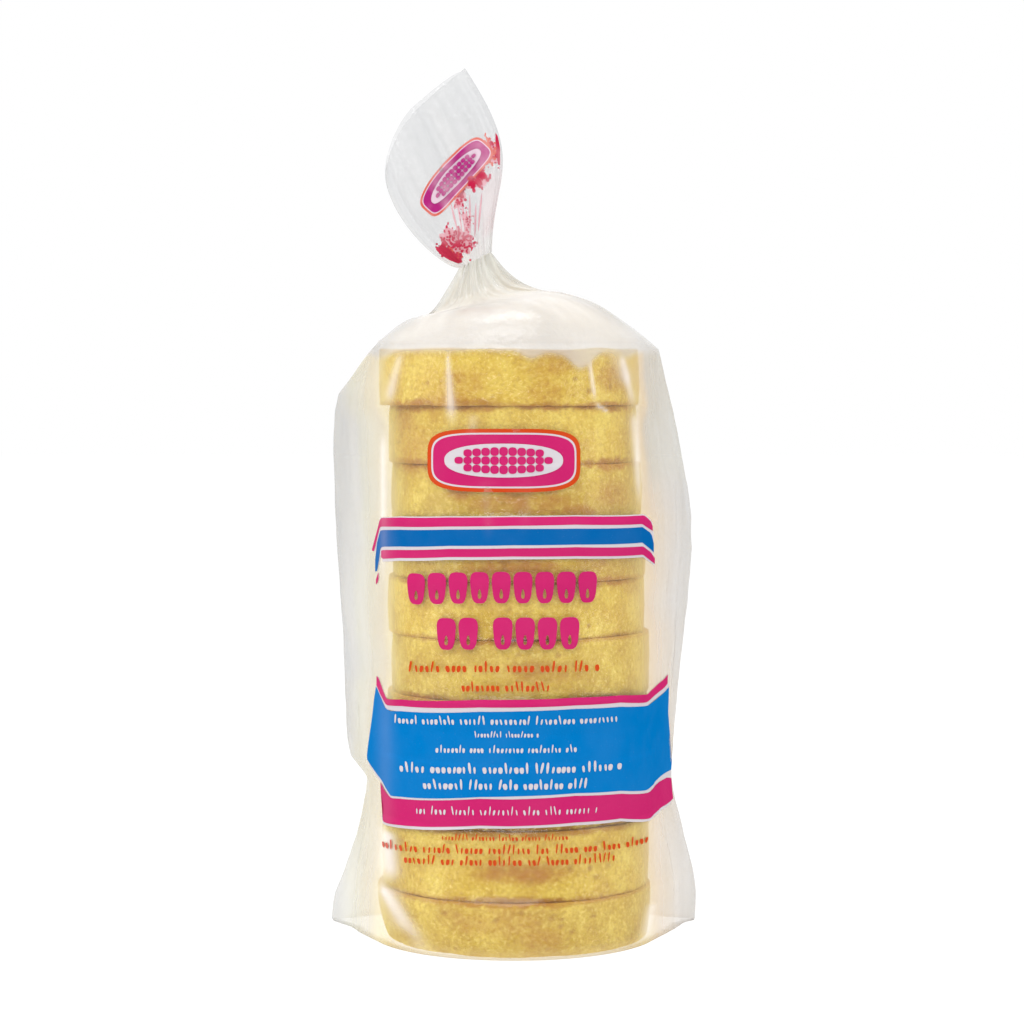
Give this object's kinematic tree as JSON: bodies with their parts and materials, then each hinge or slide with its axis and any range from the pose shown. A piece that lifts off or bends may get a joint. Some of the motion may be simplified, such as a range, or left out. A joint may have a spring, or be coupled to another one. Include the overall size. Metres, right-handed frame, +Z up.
{
  "type": "corn tortilla stack",
  "caption": "Upright stack of thick pale yellow corn tortillas in a clear printed film bag, with a gathered neck and a flared open tail.",
  "frame": {"origin": "on the table, under the middle of the stack", "axes": "+Z up the stack, the printed face towards -Y, +X to the right of someone who looks at that face"},
  "size_m": [0.0902, 0.072, 0.2078],
  "materials": {
    "filled_film": "clear milky film over pale yellow tortillas",
    "film": "thin clear film, slightly milky, creased",
    "tortilla": "dense pale yellow corn dough, lightly baked, mottled and pitted; stands in for bread",
    "ink_magenta": "magenta ink printed on film",
    "ink_blue": "bright blue ink printed on film",
    "ink_white": "white ink printed on film",
    "ink_orange": "orange-red ink printed on film"
  },
  "bodies": {
    "root": {"filled_bag": "filled_film"}
  },
  "joints": []
}
